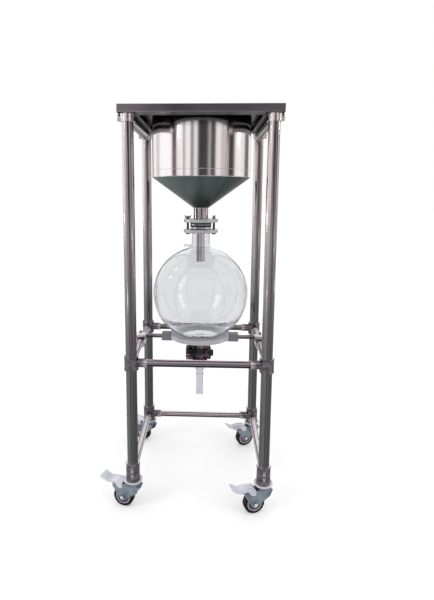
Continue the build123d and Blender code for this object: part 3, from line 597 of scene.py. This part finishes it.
def weld_bead(radius, z, width, ripples):
    """A welded seam round an upright axis: a bead whose every second step stands a little proud."""
    clear_selection()
    bpy.ops.mesh.primitive_torus_add(major_radius=radius, minor_radius=width / 2, major_segments=2 * ripples,
                                     minor_segments=8)
    piece = bpy.context.object
    step = math.pi / ripples

    def on_crest(centre, normal):
        return int(math.floor(math.atan2(centre.y, centre.x) / step + 0.5)) % 2 == 0

    pick_faces(piece, on_crest)
    bpy.ops.transform.shrink_fatten(value=width * 0.06)
    leave_edit()
    piece.location = (0.0, 0.0, z)
    settle(piece)
    close_up(piece, 60.0)
    return piece


def stepped(radius, sides, steps, place=(0.0, 0.0, 0.0), turn=(0.0, 0.0, 0.0)):
    """A turned piece: a thin disc whose top is extruded through (rise, scale) steps."""
    clear_selection()
    first = steps[0][0]
    bpy.ops.mesh.primitive_cylinder_add(vertices=sides, radius=radius, depth=first,
                                        location=(0.0, 0.0, first / 2))
    piece = bpy.context.object
    settle(piece)
    pick_faces(piece, lambda centre, normal: normal.z > 0.9 and centre.z > first * 0.9)
    for rise, scale in steps[1:]:
        bpy.ops.mesh.extrude_region_move(TRANSFORM_OT_translate={"value": (0.0, 0.0, rise)})
        bpy.ops.transform.resize(value=(scale, scale, 1.0))
    leave_edit()
    piece.location = place
    piece.rotation_euler = turn
    settle(piece)
    close_up(piece, 50.0)
    return piece


def block(size, place, bevel, turn=(0.0, 0.0, 0.0), crown=0.0):
    """A block with rounded edges and, with a crown, a top face that is drawn in and up."""
    clear_selection()
    bpy.ops.mesh.primitive_cube_add(size=1.0)
    piece = bpy.context.object
    piece.scale = size
    settle(piece)
    if crown:
        pick_faces(piece, lambda centre, normal: normal.z > 0.9)
        bpy.ops.mesh.inset(thickness=min(size[0], size[1]) * 0.22)
        bpy.ops.transform.translate(value=(0.0, 0.0, crown))
        leave_edit()
    bevel_edges(piece, bevel, 3)
    piece.location = place
    piece.rotation_euler = turn
    settle(piece)
    close_up(piece)
    return piece


# ---------------------------------------------------------------- caster pieces

QUARTER = math.pi / 2
WHEEL_AT = (0.035, 0.0, 0.0375)     # in a caster's own frame, x along its trail
HUB_RING_R = 0.0250
HUB_BEAD_R = 0.0128
HUB_BEAD_Y = 0.0098
SIDEWALL_RING_R = 0.0305
SIDEWALL_Y = 0.0124
CAP_R = 0.0066
CAP_SUNK = 0.0003
HUB_FACE_Y = 0.0127
NUT_FACE_Y = 0.0225
DISC_TOP_Z = 0.1057
DISC_LIP_R = 0.0314
PEDAL_RIB_AT = (0.058, 0.0095, 0.0968)
PEDAL_RIB_SIZE = (0.017, 0.0065, 0.0016)
RIDGE_SIZE = (0.0022, 0.036, 0.0012)
RIDGE_LIFT = 0.0003
TAB_FOOT = (0.094, 0.0, 0.0920)
TAB_RUN = (0.027, 0.014)
RIDGES = (0.30, 0.52, 0.74)


def caster_frame(corner):
    """The matrix that takes a caster's own frame, x along its trail, to where it stands."""
    joint = next(j for j in frame["record"]["behaviour"]["joints"] if j["name"] == f"roll_{corner}")
    along = math.atan2(-joint["axis"][0], joint["axis"][1])
    side = -1 if "left" in corner else 1
    depth = -1 if "front" in corner else 1
    return Matrix.Translation((side * POST_OFFSET, depth * POST_OFFSET, 0.0)) @ Matrix.Rotation(along, 4, "Z")


def wheel_rings(radius, thickness, height, face_y):
    """A pair of rings, one on each face of a wheel."""
    pair = []
    for side in SIDES:
        place = (WHEEL_AT[0], side * face_y, WHEEL_AT[2])
        pair.append(ring(radius, thickness, height, place, (QUARTER, 0.0, 0.0)))
    return join(pair)


def axle_caps():
    """A domed cap over the nut at each end of the axle, with its washer face."""
    caps = []
    steps = ((0.0008, 1.0), (0.0004, 0.82), (0.0016, 0.97), (0.0012, 0.84), (0.0007, 0.66), (0.0003, 0.40))
    for side in SIDES:
        place = (WHEEL_AT[0], side * (NUT_FACE_Y - CAP_SUNK), WHEEL_AT[2])
        caps.append(stepped(CAP_R, 24, steps, place, (-side * QUARTER, 0.0, 0.0)))
    return join(caps)


def pedal_ribs():
    """Two pressed ribs on the pedal's arch and three tread ridges on its tab."""
    ribs = []
    for side in SIDES:
        place = (PEDAL_RIB_AT[0], side * PEDAL_RIB_AT[1], PEDAL_RIB_AT[2])
        ribs.append(block(PEDAL_RIB_SIZE, place, 0.0007, crown=0.0006))
    tilt = -math.atan2(TAB_RUN[1], TAB_RUN[0])
    for share in RIDGES:
        place = (TAB_FOOT[0] + share * TAB_RUN[0], 0.0, TAB_FOOT[2] + share * TAB_RUN[1] + RIDGE_LIFT)
        ribs.append(block(RIDGE_SIZE, place, 0.0005, (0.0, tilt, 0.0)))
    return join(ribs)


def make_casters(finishes):
    """Models each caster piece once and stands a copy of it on every corner."""
    kinds = (
        ("hub_rings", "wheel", "hub_plastic", wheel_rings(HUB_RING_R, 0.0042, 0.0016, HUB_FACE_Y)),
        ("hub_beads", "wheel", "hub_plastic", wheel_rings(HUB_BEAD_R, 0.0020, 0.0014, HUB_BEAD_Y)),
        ("sidewall_rings", "wheel", "tyre_rubber", wheel_rings(SIDEWALL_RING_R, 0.0016, 0.0012, SIDEWALL_Y)),
        ("axle_caps", "caster", "zinc_steel", axle_caps()),
        ("pedal_ribs", "pedal", "pedal_steel", pedal_ribs()),
        ("disc_lip", "frame", "zinc_steel", ring(DISC_LIP_R, 0.0030, 0.0026, (0.0, 0.0, DISC_TOP_Z))),
    )
    for kind, body, slot, master in kinds:
        for corner in CORNERS:
            rider = body if body == "frame" else f"{body}_{corner}"
            finish(copy_at(master, caster_frame(corner)), f"{kind}_{corner}", rider, finishes[kind])
        drop(master)


# ---------------------------------------------------------------- funnel, neck and glass pieces

FUNNEL_R = 0.178
RIM_R = 0.1945
RIM_TOP_Z = 1.383
STEM_R = 0.027
DRIP_R = 0.016
FLANGE_TOP_Z = 0.998
FLANGE_FOOT_Z = 0.992
CONE_FOOT_Z = 1.056
BOLT_X = 0.0485
UPPER_CLAMP_TOP_Z = 1.016
LOWER_CLAMP_TOP_Z = 0.978
UPPER_CLAMP_FOOT_Z = 1.004
THREAD_PITCH = 0.00125
THREAD_R = 0.0040
THREAD_CREST = 1.10
NUT_BARREL = (0.0070, 0.008)        # radius and height
NUT_TOP = 0.006
BOLT_END = 0.0108
NOZZLE_TIP = (-0.0612, 0.0, 0.917)
NUT_TURNS = (math.radians(38.0), math.radians(74.0))
# Each step of a wing nut's ear: how far out and up it goes, and how it narrows across and upright.
EAR_STEPS = ((0.0030, 0.0020, 0.70, 0.9), (0.0035, 0.0040, 0.80, 0.9), (0.0020, 0.0030, 0.9, 0.8))


def thread(x, low, high):
    """Cut thread on a clamp bolt: a rod drawn up ring by ring, swelling and shrinking at each pitch."""
    rings = max(2, int((high - low) / THREAD_PITCH * 2))
    rise = (high - low) / rings
    steps = [(rise, 1.0)]
    for index in range(rings - 1):
        steps.append((rise, THREAD_CREST if index % 2 == 0 else 1 / THREAD_CREST))
    return stepped(THREAD_R, 16, steps, (x, 0.0, low))


def wing_nut(x, turn):
    """Cast wing nut: a tapered barrel with two ears drawn out of its sides and swept up."""
    clear_selection()
    radius, height = NUT_BARREL
    bpy.ops.mesh.primitive_cylinder_add(vertices=12, radius=radius, depth=height,
                                        location=(0.0, 0.0, height / 2))
    piece = bpy.context.object
    settle(piece)
    for side in SIDES:
        pick_faces(piece, lambda centre, normal: normal.x * side > 0.9 and abs(normal.z) < 0.1)
        for out, up, narrow, tall in EAR_STEPS:
            bpy.ops.mesh.extrude_region_move(TRANSFORM_OT_translate={"value": (side * out, 0.0, up)})
            bpy.ops.transform.resize(value=(1.0, narrow, tall))
        leave_edit()
    pick_faces(piece, lambda centre, normal: normal.z > 0.9 and abs(centre.x) < 0.002)
    bpy.ops.mesh.inset(thickness=0.0016)
    leave_edit()
    make_active(piece)
    soft = piece.modifiers.new("soft", "SUBSURF")
    soft.levels = soft.render_levels = 2
    bpy.ops.object.modifier_apply(modifier=soft.name)
    piece.location = (x, 0.0, UPPER_CLAMP_TOP_Z)
    piece.rotation_euler = (0.0, 0.0, turn)
    settle(piece)
    close_up(piece, 60.0)
    return piece


def make_neck(finishes):
    """Thread on the clamp bolts, and the wing nuts that pull the neck joint together."""
    threads = []
    for x in (-BOLT_X, BOLT_X):
        threads.append(thread(x, LOWER_CLAMP_TOP_Z, UPPER_CLAMP_FOOT_Z))
        threads.append(thread(x, UPPER_CLAMP_TOP_Z + NUT_TOP, UPPER_CLAMP_TOP_Z + BOLT_END))
    finish(join(threads), "clamp_threads", "frame", finishes["bolt"])
    nuts = join([wing_nut(x, turn) for x, turn in zip((-BOLT_X, BOLT_X), NUT_TURNS)])
    finish(nuts, "wing_nut_pair", "frame", finishes["wing"])
    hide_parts("wing_nuts")


def make_welds(finishes):
    """The funnel's welded seams, each with its radius, height, width and ripples, and its rolled rim."""
    seams = (
        ("shoulder_seam", FUNNEL_R - 0.0004, SHOULDER_Z, 0.0022, 260),
        ("pan_seam", FUNNEL_R, WELD_Z, 0.0012, 300),
        ("stem_seam", STEM_R + 0.0002, CONE_FOOT_Z, 0.0022, 60),
        ("flange_seam", STEM_R + 0.0005, FLANGE_TOP_Z + 0.0004, 0.0020, 60),
        ("drip_seam", DRIP_R + 0.0004, FLANGE_FOOT_Z - 0.0004, 0.0018, 44),
    )
    for name, radius, z, width, ripples in seams:
        finish(weld_bead(radius, z, width, ripples), name, "frame", finishes["seam"])
    rim = ring(RIM_R, 0.0036, 0.0034, (0.0, 0.0, RIM_TOP_Z - 0.0014), segments=160)
    finish(rim, "rim_roll", "frame", finishes["seam"])


def make_glass_beads(finishes):
    """Fire-polished beads at the glass's ends and steps, each with its radius, width, height and place."""
    beads = (
        ("neck_bead", 0.0345, 0.0030, 0.0030, 0.9645),
        ("outlet_step_bead", 0.0163, 0.0030, 0.0030, 0.4350),
        ("outlet_collar_bead", 0.0140, 0.0026, 0.0034, 0.4150),
        ("outlet_end_bead", 0.0125, 0.0030, 0.0026, 0.3343),
    )
    for name, radius, thickness, height, z in beads:
        bead = ring(radius, thickness, height, (0.0, 0.0, z), segments=48)
        finish(bead, name, "frame", finishes["glass"])
    nozzle = ring(0.0050, 0.0022, 0.0020, NOZZLE_TIP, (0.0, QUARTER, 0.0), segments=24)
    finish(nozzle, "nozzle_bead", "frame", finishes["glass"])


# ---------------------------------------------------------------- valve, ring and frame pieces

VALVE_Z = 0.499
KNOB_FACE_X = -0.053
POINTER_SIZE = (0.0016, 0.0050, 0.0150)
POINTER_RISE = 0.0085
SIDE_NUT_X = 0.0315
GRIP_Z = 0.4755
# Ribbed nuts: radius, wall, height and number of ribs.
SIDE_NUT = (0.0235, 0.0034, 0.020, 14)
GRIP = (0.0270, 0.0034, 0.013, 18)
COUPLING_LIP = (0.0385, 0.5302)     # radius and height of each of these three rings
RING_FOOT = (0.1118, 0.5652)
JOINT_SEAM = (0.0189, 0.462)
PINCH_AT = (POST_OFFSET + 0.0120, 0.012, 0.5235)


def grip_ring(radius, wall, height, ribs):
    """A moulded nut with finger ribs: a short tube whose every third side is drawn outwards."""
    clear_selection()
    bpy.ops.mesh.primitive_cylinder_add(vertices=3 * ribs, radius=radius, depth=height, end_fill_type="NOTHING")
    piece = bpy.context.object
    settle(piece)
    step = math.tau / (3 * ribs)

    def on_rib(centre, normal):
        return int(math.floor(math.atan2(centre.y, centre.x) / step)) % 3 == 0

    pick_faces(piece, on_rib)
    bpy.ops.mesh.extrude_region_shrink_fatten(TRANSFORM_OT_shrink_fatten={"value": 0.0016})
    leave_edit()
    make_active(piece)
    shell = piece.modifiers.new("wall", "SOLIDIFY")
    shell.thickness = wall
    shell.offset = -1.0
    bpy.ops.object.modifier_apply(modifier=shell.name)
    bevel_edges(piece, 0.0006, 2, 50.0)
    close_up(piece, 35.0)
    return piece


def make_valve(finishes):
    """Ribbed nuts round the cross body and the marked face of its knob."""
    side_nut = grip_ring(*SIDE_NUT)
    side_nut.rotation_euler = (0.0, QUARTER, 0.0)
    side_nut.location = (SIDE_NUT_X, 0.0, VALVE_Z)
    settle(side_nut)
    finish(side_nut, "valve_side_nut", "frame", finishes["valve"])
    grip = grip_ring(*GRIP)
    grip.location = (0.0, 0.0, GRIP_Z)
    settle(grip)
    finish(grip, "outlet_nut_grip", "frame", finishes["valve"])
    face = ring(0.0190, 0.0030, 0.0024, (KNOB_FACE_X + 0.0002, 0.0, VALVE_Z), (0.0, QUARTER, 0.0), segments=48)
    pointer = block(POINTER_SIZE, (KNOB_FACE_X, 0.0, VALVE_Z + POINTER_RISE), 0.0006)
    finish(join([face, pointer]), "knob_mark", "valve", finishes["valve"])
    radius, height = COUPLING_LIP
    lip = ring(radius, 0.0028, 0.0024, (0.0, 0.0, height), segments=64)
    finish(lip, "coupling_lip", "frame", finishes["valve"])


def make_frame_trim(finishes):
    """The ring's moulded foot, the front right post's rusted joint, and the cross clamps' pinch screws."""
    radius, height = RING_FOOT
    foot = ring(radius, 0.0044, 0.0040, (0.0, 0.0, height), segments=128)
    finish(foot, "ring_foot", "frame", finishes["ring"])
    radius, height = JOINT_SEAM
    seam = ring(radius, 0.0010, 0.0012, (POST_OFFSET, -POST_OFFSET, height), segments=48)
    finish(seam, "joint_seam", "frame", finishes["rust"])
    screws = []
    steps = ((0.0012, 1.0), (0.0030, 1.0), (0.0006, 0.88), (0.0, 0.55), (-0.0022, 1.0))
    for side in SIDES:
        for y in (-PINCH_AT[1], PINCH_AT[1]):
            place = (side * PINCH_AT[0], y, PINCH_AT[2])
            screws.append(stepped(0.0040, 18, steps, place, (0.0, side * QUARTER, 0.0)))
    finish(join(screws), "pinch_screws", "frame", finishes["bolt"])


# ---------------------------------------------------------------- floor, world and lamps

FLOOR_HALF = 30.0
FLOOR_GLOW = 0.21               # light that the floor adds where it is seen, for a white ground
WHITE = (1.0, 1.0, 1.0, 1.0)
FLOOR_PAINT = shade(252, 252, 252)
FLOOR_MIRRORED = shade(206, 206, 206)
SKY = 0.86
SCREEN_TOP = (0.27, 0.40)       # sine of the elevation where the screens fade out
# Tall screens that only mirrors see: azimuth, half width and edge in degrees, and brightness.
SCREENS = (
    (-156.0, 3.5, 2.5, 0.04),
    (-151.0, 3.0, 3.0, 0.55),
    (-129.0, 2.5, 2.0, 0.45),
    (-110.0, 4.0, 4.0, 0.25),
    (-86.0, 12.0, 4.0, 0.04),
    (-73.0, 4.0, 3.0, 0.40),
    (-63.0, 6.0, 3.0, 0.08),
    (-40.0, 4.0, 4.0, 0.60),
    (-21.0, 13.0, 6.0, 0.06),
    (40.0, 12.0, 7.0, 0.15),
    (108.0, 12.0, 4.0, 0.08),
    (152.0, 7.0, 5.0, 0.66),
)


def make_world():
    """White to the camera and through glass, even for matt surfaces, and striped for polished metal."""
    world = bpy.data.worlds.new("studio")
    bpy.context.scene.world = world
    world.use_nodes = True
    graph = Graph(world.node_tree)
    path = graph.add("ShaderNodeLightPath").outputs
    direction = graph.add("ShaderNodeTexCoord").outputs["Generated"]
    parts = graph.add("ShaderNodeSeparateXYZ", Vector=direction).outputs
    azimuth = graph.math("DEGREES", graph.math("ARCTAN2", parts["Y"], parts["X"]))
    room = 1.0
    for centre, half, edge, brightness in SCREENS:
        away = graph.math("ABSOLUTE", graph.math("SUBTRACT", azimuth, centre))
        inside = graph.span(away, half + edge, half - edge)
        screened = graph.math("MULTIPLY", inside, 1.0 - brightness)
        room = graph.math("MULTIPLY", room, graph.math("SUBTRACT", 1.0, screened))
    room = graph.math("MAXIMUM", room, graph.span(graph.math("ABSOLUTE", parts["Z"]), *SCREEN_TOP))
    seen = graph.math("MAXIMUM", path["Is Camera Ray"], path["Is Transmission Ray"])
    mirrored = graph.math("MULTIPLY", path["Is Glossy Ray"], graph.math("SUBTRACT", 1.0, seen))
    lit = graph.math("ADD", graph.math("MULTIPLY", mirrored, graph.math("SUBTRACT", room, SKY)), SKY)
    strength = graph.math("MAXIMUM", seen, lit)
    background = graph.add("ShaderNodeBackground", Color=WHITE, Strength=strength)
    graph.add("ShaderNodeOutputWorld", Surface=background.outputs[0])


def make_floor():
    """A plain white floor that keeps soft shadows."""
    bpy.ops.mesh.primitive_plane_add(size=2 * FLOOR_HALF, location=(0.0, 0.0, 0.0))
    floor = bpy.context.object
    floor.name = "floor"
    material = bpy.data.materials.new("floor_white")
    material.use_nodes = True
    graph = Graph(material.node_tree)
    path = graph.add("ShaderNodeLightPath").outputs
    seen = graph.math("MAXIMUM", path["Is Camera Ray"], path["Is Transmission Ray"])
    tone = graph.mix(path["Is Glossy Ray"], FLOOR_PAINT, FLOOR_MIRRORED)
    paint = graph.add("ShaderNodeBsdfDiffuse", Color=tone)
    glow = graph.math("MULTIPLY", seen, FLOOR_GLOW)
    light = graph.add("ShaderNodeEmission", Color=WHITE, Strength=glow)
    both = graph.add("ShaderNodeAddShader")
    graph.put(both, "#0", paint.outputs[0])
    graph.put(both, "#1", light.outputs[0])
    graph.add("ShaderNodeOutputMaterial", Surface=both.outputs[0])
    floor.data.materials.append(material)


def make_lamp(name, place, target, size, power):
    """A softbox that faces its target and doesn't show in mirrors."""
    data = bpy.data.lights.new(name, "AREA")
    data.shape = "RECTANGLE"
    data.size, data.size_y = size
    data.energy = power
    lamp = bpy.data.objects.new(name, data)
    bpy.context.scene.collection.objects.link(lamp)
    lamp.location = place
    lamp.rotation_euler = (Vector(target) - Vector(place)).to_track_quat("-Z", "Y").to_euler()
    lamp.visible_glossy = False


# Places on the front of the receiver, in shares of its radius, right and up, where a far small lamp glints.
GLINTS = (
    (-0.48, 0.61), (-0.59, 0.46), (-0.38, 0.33), (0.65, 0.39), (0.52, 0.12), (-0.37, 0.02), (-0.72, 0.20),
    (0.78, 0.05),
)
FLASK_FOOT = 0.022      # how far the receiver's flange stands out below its bulb
GLINT_AWAY = 2.4
GLINT_SIZE = 0.16
GLINT_POWER = 0.6


def make_glint_lamps():
    """Small lamps that only mirrors and glass show, each set so that the receiver glints where it should."""
    low, high = (Vector(corner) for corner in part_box("flask"))
    radius = (high.y - low.y) / 2
    centre = Vector((0.0, 0.0, low.z + radius + FLASK_FOOT))
    eye = (Vector(CAMERA_PLACE) - centre).normalized()
    for index, (right, up) in enumerate(GLINTS):
        normal = Vector((right, -math.sqrt(1.0 - right * right - up * up), up))
        towards = (2.0 * normal.dot(eye) * normal - eye).normalized()
        place = centre + towards * GLINT_AWAY
        make_lamp(f"glint_{index}", place, centre, (GLINT_SIZE, GLINT_SIZE / 2), GLINT_POWER)
        lamp = bpy.data.objects[f"glint_{index}"]
        lamp.visible_glossy = True
        lamp.visible_diffuse = False
        lamp.visible_transmission = False


STAND_MIDDLE = (0.0, 0.0, 0.7)


# Softboxes: name, place, size and power.
SOFTBOXES = (
    ("left_softbox", (-2.2, -1.8, 2.3), (0.9, 1.8), 13.0),
    ("right_softbox", (2.4, -1.4, 2.1), (0.7, 1.8), 9.0),
)


def make_lamps():
    for name, place, size, power in SOFTBOXES:
        make_lamp(name, place, STAND_MIDDLE, size, power)
    make_glint_lamps()


clear_selection()
make_camera()
make_world()
make_floor()
make_lamps()
dress_frame()
finishes = {**dress_filter(), **dress_casters()}
make_welds(finishes)
make_neck(finishes)
make_glass_beads(finishes)
make_valve(finishes)
make_frame_trim(finishes)
make_casters(finishes)

bpy.context.scene.view_settings.view_transform = "Standard"
